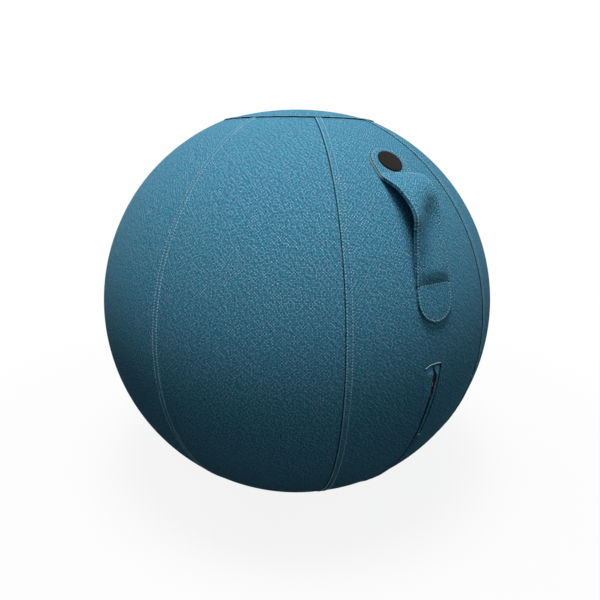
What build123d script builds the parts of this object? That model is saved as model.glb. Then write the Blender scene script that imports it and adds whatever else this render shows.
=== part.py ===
from build123d import *
import math
import os

# Ball: the inflated size, and how far it settles on the floor
ball_diameter = 650.0
floor_sag = 1.2
cloth = 1.4
bladder_gap = 0.3
bladder_wall = 1.2

# Cover: upright panels between two round caps, joined by topstitched seams
panel_names = [
    "panel_front",
    "panel_front_right",
    "panel_right",
    "panel_back_right",
    "panel_back",
    "panel_back_left",
    "panel_left",
    "panel_front_left",
]
cap_diameter = 242.0
cap_crown = 18.0
seam_gap = 0.2
seam_round = 0.8
fold_width = 10.5
fold_rise = 0.9
fold_taper = 3.0
cap_fold_width = 8.0

# Handle: three plies, sewn down at both rounded ends, standing clear between them
strap_width = 58.0
strap_skin = 1.1
strap_core = 1.9
ply_gap = 0.1
strap_seat = 0.2
strap_top_seam = 44.3
strap_bottom_seam = 17.7
sewn_length = 18.2
strap_trim = 3.0

# Lift of the strap's free span above its sewn ends, in ten even steps from its bottom seam up
strap_left = [0, 3.0, 7.0, 12.0, 18.4, 26.3, 25.6, 20.9, 15.5, 7.0, 0]
strap_middle = [0, 5.2, 5.9, 6.3, 7.6, 11.4, 17.0, 21.1, 18.6, 10.5, 0]
strap_right = [0, 2.0, 3.6, 5.2, 6.5, 8.6, 13.4, 18.8, 19.4, 13.4, 0]

# Badge: a blank disc, its shank held by a washer under the outer ply
badge_diameter = 36.0
badge_thickness = 1.2
badge_round = 0.4
badge_bevel = 0.2
badge_bevel_width = 1.2
badge_margin = 8.5
shank_diameter = 5.0
shank_clearance = 0.1
washer_diameter = 14.0
washer_thickness = 0.7

# Zip: a window in the front panel, its two folded welts, and the tapes under them
window_top = -1.0
window_width = 27.0
welt_gap = 4.0
welt_rise = 2.4
welt_thickness = 1.8
welt_crown = 0.7
chain_depth = 2.9
tape_thickness = 0.6
tape_edge = 12.5
tape_flat = 5.2
tape_lift = 8.0
tape_gap = 0.1
trough_clearance = 0.8

# Zip teeth and stops
tooth_pitch = 2.6
tooth_length = 1.1
tooth_thickness = 2.0
tooth_reach = 1.1
bead_inner = 1.5
bead_width = 0.8
bead_thickness = 0.9
stop_length = 2.4
stop_width = 2.4
stop_inner = 0.9
stop_clearance = 0.05
stop_gap = 0.4
zip_tail = 14.0

# Zip slider and pull
slider_rest = -5.5
slider_length = 11.5
slider_nose_width = 8.4
slider_tail_width = 6.6
slider_tip_width = 5.0
slider_shoulder = 2.0
slider_plate = 0.9
slider_clearance = 0.25
slider_corner = 1.0
flange_wall = 0.4
throat_turn = -1.2
wedge_width = 2.6
wedge_middle = 2.9
wedge_length = 4.9
wedge_gap = 0.6
bail_length = 6.4
bail_height = 2.9
bail_width = 1.2
bail_bar = 1.0
bail_round = 1.3
pull_length = 19.0
pull_width = 2.8
pull_thickness = 1.1
pull_loop = 4.4
pull_round = 1.2
pull_hole = 1.2
pull_hole_edge = 2.2
pull_clearance = 0.15

# Valve: an insert in the bladder's wall, closed by a push-in plug
valve_turn = 16.0
valve_height = -30.0
valve_barrel = 16.0
valve_fit = 0.1
valve_flange = 28.0
valve_flange_thickness = 1.6
valve_depth = 9.0
valve_recess = 0.3
plug_head = 12.0
plug_head_thickness = 1.4
plug_stem = 9.0
plug_barb = 0.4
plug_tip = 7.4
plug_length = 14.0
plug_fit = 0.05

# Values that follow from the sizes above
radius = ball_diameter / 2
cap_half = cap_diameter / 2
seam_height = math.sqrt(radius**2 - cap_half**2)
cap_radius = (cap_half**2 + cap_crown**2) / (2 * cap_crown)
cap_drop = cap_radius - cap_crown - seam_height
CENTRE = Vector(0, 0, seam_height + cap_crown - floor_sag)
AXIS_X = Axis(CENTRE, (1, 0, 0))
AXIS_Z = Axis(CENTRE, (0, 0, 1))
AXIAL = Plane(origin=CENTRE, x_dir=(1, 0, 0), z_dir=(0, -1, 0))
cap_elevation = 90 - math.degrees(math.asin(cap_diameter / ball_diameter))
panel_angle = 360 / len(panel_names)
seam_degree = math.degrees(seam_gap / 2 / radius)
bladder_radius = radius - cloth - bladder_gap
strap_thickness = 2 * strap_skin + strap_core + 2 * ply_gap
strap_top_end = strap_top_seam + math.degrees(sewn_length / radius)
strap_bottom_end = strap_bottom_seam - math.degrees(sewn_length / radius)
badge_drop = strap_width / 2 - badge_margin - badge_diameter / 2
badge_height = strap_top_end + math.degrees(badge_drop / radius)
chain_radius = radius - chain_depth
degree_per_mm = math.degrees(1 / chain_radius)


def on_front(elevation):
    """Unit vector from the ball's centre to the front meridian at an elevation."""
    a = math.radians(elevation)
    return Vector(0, -math.cos(a), math.sin(a))


def front_plane(elevation, distance):
    """Frame on the front meridian: X across, Y up along the ball, Z outward."""
    n = on_front(elevation)
    return Plane(origin=CENTRE + n * distance, x_dir=(1, 0, 0), z_dir=n)


def down_front(profile, top, bottom):
    """Carry a section of (across, distance from the ball's centre) down the front meridian."""
    n = on_front(top)
    section = Plane(origin=CENTRE, x_dir=(1, 0, 0), z_dir=Vector(1, 0, 0).cross(n))
    return revolve(section * profile, axis=AXIS_X, revolution_arc=top - bottom)


def polygon(*points):
    """Closed flat face through the given points."""
    return make_face(Polyline(*points, close=True))


def front_wedge(top, bottom, width):
    """Block of the given width over all points between two elevations of the front."""
    far = 2 * radius
    a = on_front(top) * far
    b = on_front((top + bottom) / 2) * far * 1.4
    c = on_front(bottom) * far
    side = Plane(origin=CENTRE, x_dir=(0, 1, 0), z_dir=(1, 0, 0))
    face = polygon((0, 0), (a.Y, a.Z), (b.Y, b.Z), (c.Y, c.Z))
    return extrude(side * face, width / 2, both=True)


def ring_section(inner, outer, low, high):
    """Section between two radii and two elevations, in the plane of the ball's axis."""
    arc_in = CenterArc((0, 0), inner, low, high - low)
    arc_out = CenterArc((0, 0), outer, low, high - low)
    ends = [Line(arc_in @ 0, arc_out @ 0), Line(arc_in @ 1, arc_out @ 1)]
    return make_face([arc_in, arc_out] + ends)


# Cover panels: one gore, its raised seam fold on the left, turned edge on the right
def make_panel():
    """One gore from azimuth 0, its left seam, to the next seam."""
    edge = cap_elevation - seam_degree
    section = ring_section(radius - cloth, radius, -edge, edge)
    outer_corners = section.vertices().sort_by_distance((0, 0))[-2:]
    section = fillet(outer_corners, seam_round)
    shell = revolve(AXIAL * section, axis=AXIS_Z, revolution_arc=panel_angle)
    block = ring_section(radius - cloth, radius + 4 * fold_rise, -edge, edge)
    block = revolve(AXIAL * block, axis=AXIS_Z, revolution_arc=panel_angle)

    half = seam_gap / 2
    crest = radius + fold_rise
    root = radius - cloth / 2
    r = seam_round
    fold = make_face(
        [
            Line((half, root), (half, crest - r)),
            CenterArc((half + r, crest - r), r, 180, -90),
            Line((half + r, crest), (fold_width - fold_taper, crest)),
            Line((fold_width - fold_taper, crest), (fold_width, root)),
            Line((fold_width, root), (half, root)),
        ]
    )
    pole = Vector(0, 0, 1)
    seam = Plane(origin=CENTRE, x_dir=(0, 1, 0), z_dir=Vector(0, 1, 0).cross(pole))
    ridge = revolve(seam * fold, axis=Axis(CENTRE, (0, 1, 0)), revolution_arc=180)

    corner = make_face(
        [
            Line((half + r, radius + r), (-r, radius + r)),
            Line((-r, radius + r), (-r, radius - 2 * cloth)),
            Line((-r, radius - 2 * cloth), (half, radius - 2 * cloth)),
            Line((half, radius - 2 * cloth), (half, radius - r)),
            CenterArc((half + r, radius - r), r, 180, -90),
            Line((half + r, radius), (half + r, radius + r)),
        ]
    )
    back = Plane(origin=CENTRE, x_dir=(0, -1, 0), z_dir=Vector(0, -1, 0).cross(pole))
    turn = revolve(back * corner, axis=Axis(CENTRE, (0, -1, 0)), revolution_arc=-180)
    turn = turn.rotate(AXIS_Z, panel_angle)
    slit = Pos(CENTRE) * Box(4 * radius, seam_gap, 4 * radius)
    return (shell - slit - turn) + (ridge & block)


gore = make_panel()
panels = {}
for i, name in enumerate(panel_names):
    panels[name] = gore.rotate(AXIS_Z, -90 - panel_angle / 2 + i * panel_angle)
panels["panel_front"] = panels["panel_front"] - front_wedge(window_top, -80, window_width)


# Caps: drawn flatter than the ball, the bottom one settled on the floor
def cap_section():
    """Half section of the top cap with its raised, turned edge."""
    hub = (0, -cap_drop)
    edge = 90 - math.degrees(math.asin(cap_half / cap_radius) - seam_gap / 2 / cap_radius)
    fold_in = edge + math.degrees((cap_fold_width - fold_taper) / cap_radius)
    fold_out = edge + math.degrees(cap_fold_width / cap_radius)
    lining = CenterArc(hub, cap_radius - cloth, edge, 90 - edge)
    rim = CenterArc(hub, cap_radius + fold_rise, edge, fold_in - edge)
    dome = CenterArc(hub, cap_radius, fold_out, 90 - fold_out)
    face = make_face(
        [
            lining,
            Line(lining @ 0, rim @ 0),
            rim,
            Line(rim @ 1, dome @ 0),
            dome,
            Line(dome @ 1, lining @ 1),
        ]
    )
    lip = face.vertices().sort_by_distance(rim @ 0)[0]
    return fillet(lip, seam_round)


top_cap = revolve(AXIAL * cap_section(), axis=AXIS_Z)
above_floor = Pos(0, 0, 2 * radius) * Box(4 * radius, 4 * radius, 4 * radius)
settled = top_cap.mirror(Plane.XY.offset(CENTRE.Z)) & above_floor
floor_disc = Pos(0, 0, cloth / 2) * Cylinder(radius, cloth)
floor_disc = floor_disc & (Pos(0, 0, CENTRE.Z + cap_drop) * Sphere(cap_radius - cloth / 2))
bottom_cap = settled + floor_disc

# Zip welts and tapes: sections of (across, distance from the ball's centre)
strip_top = window_top - seam_gap * degree_per_mm
strip_bottom = -cap_elevation + seam_gap * degree_per_mm
welt_half = window_width / 2 - seam_gap
welt_seat = math.sqrt(radius**2 - welt_half**2)
fold_radius = welt_thickness / 2
fold_x = welt_gap / 2 + fold_radius
fold_y = radius + welt_rise - fold_radius
tape_inner = bead_inner + bead_width


def welt_under(x):
    """Height of the welt's flat underside at a distance across."""
    t = (x - fold_x) / (welt_half - fold_x)
    return fold_y - fold_radius + t * (welt_seat - welt_thickness - fold_y + fold_radius)


def welt_section():
    """The right welt: a folded strip, rising to its rounded fold beside the gap."""
    seat = (welt_half, welt_seat)
    return make_face(
        [
            SagittaArc(seat, (fold_x, fold_y + fold_radius), welt_crown),
            CenterArc((fold_x, fold_y), fold_radius, 90, 180),
            Line((fold_x, welt_under(fold_x)), (welt_half, welt_under(welt_half))),
            Line((welt_half, welt_under(welt_half)), seat),
        ]
    )


def ribbon(points, thickness):
    """Strip of even thickness whose upper side runs through the given points."""
    way = [Vector(*p) for p in points]
    runs = [(b - a).normalized() for a, b in zip(way, way[1:])]
    lower = []
    for i, p in enumerate(way):
        mean = (runs[max(i - 1, 0)] + runs[min(i, len(runs) - 1)]).normalized()
        reach = thickness / mean.dot(runs[min(i, len(runs) - 1)])
        lower.append(p + Vector(mean.Y, -mean.X) * reach)
    return polygon(*way, *reversed(lower))


# The tape is flat beside the teeth, then lifts to the welt that it is sewn to
tape_line = [
    (tape_inner, chain_radius + tape_thickness / 2),
    (tape_flat, chain_radius + tape_thickness / 2),
    (tape_lift, welt_under(tape_lift) - tape_gap),
    (tape_edge, welt_under(tape_edge) - tape_gap),
]
zip_welt_right = down_front(welt_section(), strip_top, strip_bottom)
zip_welt_left = zip_welt_right.mirror(Plane.YZ)
zip_tape_right = down_front(ribbon(tape_line, tape_thickness), strip_top, strip_bottom)
zip_tape_left = zip_tape_right.mirror(Plane.YZ)

# Zip teeth: two rows on their beads, meshed below the slider's wedge
half_slider = slider_length / 2
chain_top = slider_rest - wedge_gap * degree_per_mm
bottom_stop_at = strip_bottom + (zip_tail + stop_length / 2) * degree_per_mm
chain_end = bottom_stop_at + (stop_length / 2 + stop_gap) * degree_per_mm
slider_travel = slider_rest - chain_end - half_slider * degree_per_mm
pitch_angle = tooth_pitch * degree_per_mm
tooth_count = int((chain_top - chain_end) / pitch_angle)
chain_bottom = chain_top - tooth_count * pitch_angle


def tooth_row(start):
    """The right row of teeth on its bead, the first tooth at the given elevation."""
    half = bead_thickness / 2
    bead = polygon(
        (bead_inner, chain_radius - half),
        (tape_inner, chain_radius - half),
        (tape_inner, chain_radius + half),
        (bead_inner, chain_radius + half),
    )
    row = down_front(bead, chain_top, chain_bottom)
    root = bead_inner + bead_width * 3 / 4
    tooth = Box(tooth_reach + root, tooth_length, tooth_thickness)
    tooth = Pos((root - tooth_reach) / 2, 0, 0) * tooth
    teeth = [front_plane(start - i * pitch_angle, chain_radius) * tooth for i in range(tooth_count)]
    return row.fuse(*teeth)


zip_teeth_right = tooth_row(chain_top - pitch_angle / 4)
zip_teeth_left = tooth_row(chain_top - pitch_angle * 3 / 4).mirror(Plane.YZ)


# Zip stops: clips closed over the tape edges
def stop_clip():
    """The right half of a stop, centred on the chain, slotted for the tape."""
    clip = Pos(stop_inner + stop_width / 2, 0, 0) * Box(stop_width, stop_length, tooth_thickness)
    slot = Box(2 * stop_width, 2 * stop_length, tape_thickness + 2 * stop_clearance)
    return clip - Pos(tape_inner + stop_width, 0, 0) * slot


top_stop_at = slider_rest + (half_slider + stop_gap + stop_length / 2) * degree_per_mm
clip = front_plane(top_stop_at, chain_radius) * stop_clip()
zip_top_stops = Compound(children=[clip, clip.mirror(Plane.YZ)])
clip = stop_clip() + stop_clip().mirror(Plane.YZ)
clip = clip + Box(2 * bead_inner, stop_length, tooth_thickness)
zip_bottom_stop = front_plane(bottom_stop_at, chain_radius) * clip

# Zip slider: two plates joined by the wedge that parts the teeth, with a bail on top
inside = tooth_thickness / 2 + slider_clearance
outside = inside + slider_plate
nose = slider_nose_width / 2
tail = slider_tail_width / 2
tip = slider_tip_width / 2
shield = polygon(
    (-tail, -half_slider),
    (tail, -half_slider),
    (nose, slider_shoulder),
    (tip, half_slider),
    (-tip, half_slider),
    (-nose, slider_shoulder),
)
shield = fillet(shield.vertices(), slider_corner)
channel = tape_inner + slider_clearance
mouth = nose - flange_wall
throat = polygon(
    (-channel, -slider_length),
    (channel, -slider_length),
    (channel, throat_turn),
    (mouth, wedge_middle),
    (mouth, slider_length),
    (-mouth, slider_length),
    (-mouth, wedge_middle),
    (-channel, throat_turn),
)
slot = tape_thickness / 2 + slider_clearance
plate = Pos(0, 0, inside) * extrude(shield, slider_plate)
flange = Pos(0, 0, slot) * extrude(shield - throat, inside - slot)
jaw = plate + flange
wedge_half = wedge_width / 2
wedge = polygon((0, 0), (wedge_half, wedge_middle), (0, wedge_length), (-wedge_half, wedge_middle))
post = extrude(wedge, inside, both=True)

arch = Rectangle(bail_length, bail_height, align=(Align.CENTER, Align.MIN))
arch = fillet(arch.vertices().sort_by(Axis.Y)[-2:], bail_round)
eye_height = bail_height - bail_bar
eye = Rectangle(bail_length - 2 * bail_bar, eye_height, align=(Align.CENTER, Align.MIN))
eye = fillet(eye.vertices().sort_by(Axis.Y)[-2:], bail_round / 2)
bail = extrude(Plane.YZ * (arch - eye), bail_width / 2, both=True)
bail = Pos(0, 0, outside) * bail
slider_frame = front_plane(slider_rest, chain_radius)
zip_slider = slider_frame * (jaw + jaw.mirror(Plane.XY) + post + bail)

# Zip pull: a tab on a loop through the bail, lying down between the welts
pivot = outside + eye_height / 2
tab = Rectangle(pull_width, pull_length, align=(Align.CENTER, Align.MAX))
tab = fillet(tab.vertices().sort_by(Axis.Y)[:2], pull_round)
loop = Rectangle(bail_width + 2 * pull_clearance, 2 * pull_loop)
eyelet = Pos(0, pull_hole_edge - pull_length) * Circle(pull_hole / 2)
blade = extrude(tab - loop - eyelet, pull_thickness / 2, both=True)
pin = Rot(0, 90, 0) * Cylinder(pull_thickness / 2, pull_width)
zip_pull = slider_frame * Pos(0, 0, pivot) * (blade + pin)


# Bladder: a hollow ball, settled on the floor, with a trough pressed in by the zip
def bladder_skin(inset):
    """The bladder's surface as a solid, taken in by the given amount."""
    ball = Pos(CENTRE) * Sphere(bladder_radius - inset)
    crown = Sphere(cap_radius - cloth - bladder_gap - inset)
    ball = ball & (Pos(0, 0, CENTRE.Z - cap_drop) * crown) & (Pos(0, 0, CENTRE.Z + cap_drop) * crown)
    ball = ball & (Pos(0, 0, cloth + bladder_gap + inset) * above_floor)
    floor_x = nose + trough_clearance + inset
    floor_y = chain_radius - outside - trough_clearance - inset
    side_x = tape_edge + trough_clearance + inset
    side_y = welt_under(tape_edge) - tape_gap - tape_thickness - trough_clearance - inset
    slope = (side_y - floor_y) / (side_x - floor_x)
    brim_y = radius + chain_depth
    brim_x = side_x + (brim_y - side_y) / slope
    trough = polygon((-floor_x, floor_y), (floor_x, floor_y), (brim_x, brim_y), (-brim_x, brim_y))
    end = (trough_clearance + inset) * degree_per_mm
    return ball - down_front(trough, strip_top + end, strip_bottom - end)


valve_normal = on_front(valve_height).rotate(Axis.Z, valve_turn)
valve = Plane(origin=CENTRE + valve_normal * bladder_radius, z_dir=valve_normal)
bladder = bladder_skin(0) - bladder_skin(bladder_wall)
bladder = bladder - valve * Cylinder(valve_barrel / 2, 4 * valve_depth)

# Valve: the insert's flange lies under the wall, and the plug's head in its recess
wall_inner = bladder_radius - bladder_wall
flange_top = math.sqrt(wall_inner**2 - (valve_flange / 2) ** 2) - bladder_radius - valve_fit
flange_low = flange_top - valve_flange_thickness
barrel = valve_barrel / 2 - valve_fit
bore = plug_stem / 2
head = plug_head / 2
head_low = -valve_recess - plug_head_thickness
seat_section = polygon(
    (bore, -valve_depth),
    (barrel, -valve_depth),
    (barrel, flange_low),
    (valve_flange / 2, flange_low),
    (valve_flange / 2, flange_top),
    (barrel, flange_top),
    (barrel, -valve_recess),
    (head + valve_fit, -valve_recess),
    (head + valve_fit, head_low - plug_fit),
    (bore, head_low - plug_fit),
)
valve_seat = valve * revolve(Plane.XZ * seat_section, axis=Axis.Z)
stem = bore - plug_fit
plug_section = polygon(
    (0, -valve_recess),
    (head, -valve_recess),
    (head, head_low),
    (stem, head_low),
    (stem, -valve_depth - plug_fit),
    (bore + plug_barb, -valve_depth - plug_fit),
    (plug_tip / 2, -plug_length),
    (0, -plug_length),
)
valve_plug = valve * revolve(Plane.XZ * plug_section, axis=Axis.Z)


# Handle: each ply is sewn flat on the ball at both ends, and lifts off it between its seams
def strap_section(step, low, high):
    """Section of a ply between two heights over the strap's underside, at a step of its free span."""
    last = len(strap_middle) - 1
    stride = math.radians(strap_top_seam - strap_bottom_seam) / last * radius
    half = strap_width / 2 + strap_trim

    def edge(height):
        """Arc across the ply at a height, its left, middle and right lifted by their own amounts."""
        points = []
        for lift, x in ((strap_left, -half), (strap_middle, 0), (strap_right, half)):
            slope = 0
            if 0 < step < last:
                slope = (lift[step + 1] - lift[step - 1]) / (2 * stride)
            depth = (strap_thickness - height) * math.hypot(1, slope)
            far = radius + strap_seat + strap_thickness + lift[step] - depth
            points.append((x, math.sqrt(far**2 - x**2)))
        return ThreePointArc(*points)

    under = edge(low)
    over = edge(high)
    return make_face([under, over, Line(under @ 0, over @ 0), Line(under @ 1, over @ 1)])


def strap_ply(low, high):
    """One ply between two heights over the strap's underside, trimmed to the strap's outline."""
    last = len(strap_middle) - 1
    sections = []
    for step in range(last + 1):
        n = on_front(strap_bottom_seam + (strap_top_seam - strap_bottom_seam) * step / last)
        plane = Plane(origin=CENTRE, x_dir=(1, 0, 0), z_dir=Vector(1, 0, 0).cross(n))
        sections.append(plane * strap_section(step, low, high))
    reach = math.degrees((strap_width / 2 + strap_trim) / radius)
    sewn = strap_section(0, low, high)
    ply = loft(sections)
    ply = ply + down_front(sewn, strap_top_end + reach, strap_top_seam)
    ply = ply + down_front(sewn, strap_bottom_seam, strap_bottom_end - reach)
    outline = front_wedge(strap_top_end, strap_bottom_end, strap_width)
    for end in (strap_top_end, strap_bottom_end):
        outline = outline + front_plane(end, radius) * Cylinder(strap_width / 2, radius / 2)
    return ply & outline


core_low = strap_skin + ply_gap
core_high = core_low + strap_core
skin_low = core_high + ply_gap
pocket_floor = core_high - washer_thickness - ply_gap
badge_spot = front_plane(badge_height, radius + strap_seat)
upright = (Align.CENTER, Align.CENTER, Align.MIN)
pocket = Cylinder(washer_diameter / 2 + shank_clearance, strap_core, align=upright)
hole = badge_spot * Cylinder(shank_diameter / 2 + shank_clearance, 6 * strap_thickness)
handle_lining = strap_ply(0, strap_skin)
handle_core = strap_ply(core_low, core_high) - badge_spot * Pos(0, 0, pocket_floor) * pocket
handle_outer = strap_ply(skin_low, strap_thickness) - hole


# Badge: its underside follows the strap's crown
def badge_section():
    """Half section of the disc and its shank, heights above the strap's underside."""
    base = radius + strap_seat
    seat = base + strap_thickness + ply_gap
    rim = badge_diameter / 2
    shank = shank_diameter / 2
    crown = seat - base + badge_thickness
    foot = pocket_floor + ply_gap

    def under(x):
        """Point of the disc's hollow underside."""
        return (x, math.sqrt(seat**2 - x**2) - base)

    flat = rim - badge_round - badge_bevel_width
    return make_face(
        [
            Line((0, foot), (shank, foot)),
            Line((shank, foot), under(shank)),
            ThreePointArc(under(shank), under((shank + rim) / 2), under(rim)),
            Line(under(rim), (rim, crown - badge_round - badge_bevel)),
            CenterArc((rim - badge_round, crown - badge_round - badge_bevel), badge_round, 0, 90),
            Line((rim - badge_round, crown - badge_bevel), (flat, crown)),
            Line((flat, crown), (0, crown)),
            Line((0, crown), (0, foot)),
        ]
    )


badge_disc = badge_spot * revolve(Plane.XZ * badge_section(), axis=Axis.Z)
washer = Cylinder(washer_diameter / 2, washer_thickness, align=upright)
washer = washer - Cylinder(shank_diameter / 2 + shank_clearance / 2, 4 * washer_thickness)
badge_washer = badge_spot * Pos(0, 0, pocket_floor + ply_gap / 2) * washer

nodes = dict(panels)
nodes["top_cap"] = top_cap
nodes["bottom_cap"] = bottom_cap
nodes["bladder"] = bladder
nodes["valve_seat"] = valve_seat
nodes["valve_plug"] = valve_plug
nodes["handle_lining"] = handle_lining
nodes["handle_core"] = handle_core
nodes["handle_outer"] = handle_outer
nodes["badge_disc"] = badge_disc
nodes["badge_washer"] = badge_washer
nodes["zip_welt_left"] = zip_welt_left
nodes["zip_welt_right"] = zip_welt_right
nodes["zip_tape_left"] = zip_tape_left
nodes["zip_tape_right"] = zip_tape_right
nodes["zip_teeth_left"] = zip_teeth_left
nodes["zip_teeth_right"] = zip_teeth_right
nodes["zip_top_stops"] = zip_top_stops
nodes["zip_bottom_stop"] = zip_bottom_stop
nodes["zip_slider"] = zip_slider
nodes["zip_pull"] = zip_pull

os.makedirs("parts", exist_ok=True)
for name, shape in nodes.items():
    export_step(shape, f"parts/{name}.step")

print("nodes", len(nodes))
print("teeth in each row", tooth_count)
print("slider travel", slider_travel)
print("ball centre height", CENTRE.Z)
pull_pivot = CENTRE + on_front(slider_rest) * (chain_radius + pivot)
print("pull pivot", pull_pivot)
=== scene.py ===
import math

import bpy
import numpy as np
from mathutils import Matrix


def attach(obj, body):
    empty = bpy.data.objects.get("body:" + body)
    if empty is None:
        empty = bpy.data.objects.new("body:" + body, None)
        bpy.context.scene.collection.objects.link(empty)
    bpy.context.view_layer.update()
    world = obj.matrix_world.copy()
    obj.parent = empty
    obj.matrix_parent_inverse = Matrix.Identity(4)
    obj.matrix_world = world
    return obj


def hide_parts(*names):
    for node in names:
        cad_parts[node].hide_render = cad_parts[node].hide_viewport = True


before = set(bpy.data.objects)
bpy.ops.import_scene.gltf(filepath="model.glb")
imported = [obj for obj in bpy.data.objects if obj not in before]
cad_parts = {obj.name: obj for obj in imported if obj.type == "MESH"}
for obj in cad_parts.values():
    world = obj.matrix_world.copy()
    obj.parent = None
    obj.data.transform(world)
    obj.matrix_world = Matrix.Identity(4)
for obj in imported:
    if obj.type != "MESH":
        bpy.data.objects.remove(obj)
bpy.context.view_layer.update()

# Sizes of the ball and its cover, in metres and degrees
BALL = 0.325
CAP_HALF = 0.121
CAP_CROWN = 0.018
SETTLE = 0.0012
SEAM_RISE = math.sqrt(BALL ** 2 - CAP_HALF ** 2)
CAP_RADIUS = (CAP_HALF ** 2 + CAP_CROWN ** 2) / (2 * CAP_CROWN)
CAP_DROP = CAP_RADIUS - CAP_CROWN - SEAM_RISE
MIDDLE = np.array([0.0, 0.0, SEAM_RISE + CAP_CROWN - SETTLE])
CLOTH = 0.0014
CLOTH_SPACE = 0.0001
CAP_SEAM = 90 - math.degrees(math.asin(CAP_HALF / BALL))
SEAM_HALF = 0.0001
EDGE_ROUND = 0.0009
GORE = 45.0
PANELS = [
    "panel_front", "panel_front_right", "panel_right", "panel_back_right",
    "panel_back", "panel_back_left", "panel_left", "panel_front_left",
]
STITCH_ROWS = (0.0020, 0.0087)
STITCH_PITCH = 0.0038
CAP_ROW = 0.0020

# Sizes of the strap
STRAP_HALF = 0.029
STRAP_TOP_SEAM = 44.3
STRAP_BOTTOM_SEAM = 17.7
STRAP_SEWN = 0.0182
STRAP_TOP_END = STRAP_TOP_SEAM + math.degrees(STRAP_SEWN / BALL)
STRAP_BOTTOM_END = STRAP_BOTTOM_SEAM - math.degrees(STRAP_SEWN / BALL)
STRAP_MIDDLE = (STRAP_TOP_SEAM + STRAP_BOTTOM_SEAM) / 2
STRAP_INSET = 0.0022
CORE_INSET = 0.0022

# Sizes of the zip
WINDOW_TOP = -1.0
WINDOW_DEGREES = [-69, -35, -27, -21, -14, -6, -1]
WINDOW_HALVES = [6.5, 6.8, 8.2, 9.2, 10.2, 12.4, 13.5]
WELT_SPACE = 0.0002
WELT_FOLD = 0.0009
WELT_THICK = 0.0018
FOLD_START = 0.75
WELT_LIP = 0.0007
WINDOW_ROUND, WINDOW_DROP = 0.0013, 0.0011
LEFT_SHARE = 0.1
TAPE_START, TAPE_WIDTH, TAPE_THICK = 0.0023, 0.0102, 0.0006
TAPE_RADIUS = 0.3224
TAPE_BEND = (0.0050, 0.0084)
TAPE_SPACE = 0.00012

# Sizes of the meshes, the yarn and the thread
WELD = 2e-8
PANEL_ROWS, PANEL_COLUMNS = 301, 40
CAP_COLUMNS = 256
YARN = 0.0019
STITCH_LENGTH = 0.0018
THREAD_RADIUS = 0.00052
ROW_SINK = 0.0004
ROW_END = 0.4
SEW_HEIGHT = 0.0001
UV_ROUND, UV_TURN, UV_STEP = 0.002, 6.283, 0.01
GRAIN_ACROSS, GRAIN_DOWN = 0.37, 0.21
MM_PER_DEGREE = 5.67


# Numbers and curves

def ease(x, start, end):
    """Smooth step: 0 at start, 1 at end, 3t^2 - 2t^3 between them."""
    t = np.clip((x - start) / (end - start), 0.0, 1.0)
    return t * t * (3 - 2 * t)


def bump(x, centre, width):
    """Bell curve exp(-((x - centre) / width)^2)."""
    return np.exp(-(((x - centre) / width) ** 2))


def rounded(x, size):
    """Drop of a quarter round at a distance x from its edge: 1 - sqrt(1 - (1 - x / size)^2), 0 from size on."""
    t = 1 - np.clip(x / size, 0, 1)
    return 1 - np.sqrt(np.clip(1 - t ** 2, 0, 1))


def smooth_curve(x, knots, values):
    """Curve through the knots with slopes from their neighbours (cubic Hermite, slope 0 at a peak)."""
    knots = np.asarray(knots, float)
    values = np.asarray(values, float)
    step = np.diff(knots)
    rise = np.diff(values) / step
    slope = np.zeros(len(knots))
    flat = rise[:-1] * rise[1:] <= 0
    mean = 2 * rise[:-1] * rise[1:] / np.where(flat, 1.0, rise[:-1] + rise[1:])
    slope[1:-1] = np.where(flat, 0.0, mean)
    x = np.clip(x, knots[0], knots[-1])
    i = np.clip(np.searchsorted(knots, x, side="right") - 1, 0, len(knots) - 2)
    t = (x - knots[i]) / step[i]
    a = (1 + 2 * t) * (1 - t) ** 2 * values[i] + t * (1 - t) ** 2 * step[i] * slope[i]
    b = t * t * (3 - 2 * t) * values[i + 1] + t * t * (t - 1) * step[i] * slope[i + 1]
    return a + b


def ripple(x, seed, shortest, longest, waves=9):
    """Sum of sines of x with seeded phases, wavelengths spread between two lengths, about -1 to 1."""
    rng = np.random.default_rng(seed)
    lengths = np.geomspace(shortest, longest, waves)
    phases = rng.uniform(0, 2 * math.pi, waves)
    weights = rng.uniform(0.5, 1.0, waves)
    x = np.asarray(x, float)[..., None]
    return (weights * np.sin(2 * math.pi * x / lengths + phases)).sum(-1) / np.sqrt(waves)


def ball_point(azimuth, elevation, height):
    """Point above the ball: middle + (radius + height) * unit vector; azimuth 0 is the front, -Y."""
    a = np.radians(azimuth)
    e = np.radians(elevation)
    out = np.stack([np.cos(e) * np.sin(a), -np.cos(e) * np.cos(a), np.sin(e)], -1)
    return MIDDLE + out * (BALL + height)[..., None]


def unit(v):
    """Vectors divided by their lengths."""
    return v / np.maximum(np.linalg.norm(v, axis=-1, keepdims=True), 1e-12)


def grid_normals(points):
    """Unit normals of a grid of points: cross product of its two differences."""
    return unit(np.cross(np.gradient(points, axis=1), np.gradient(points, axis=0)))


# Meshes

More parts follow.
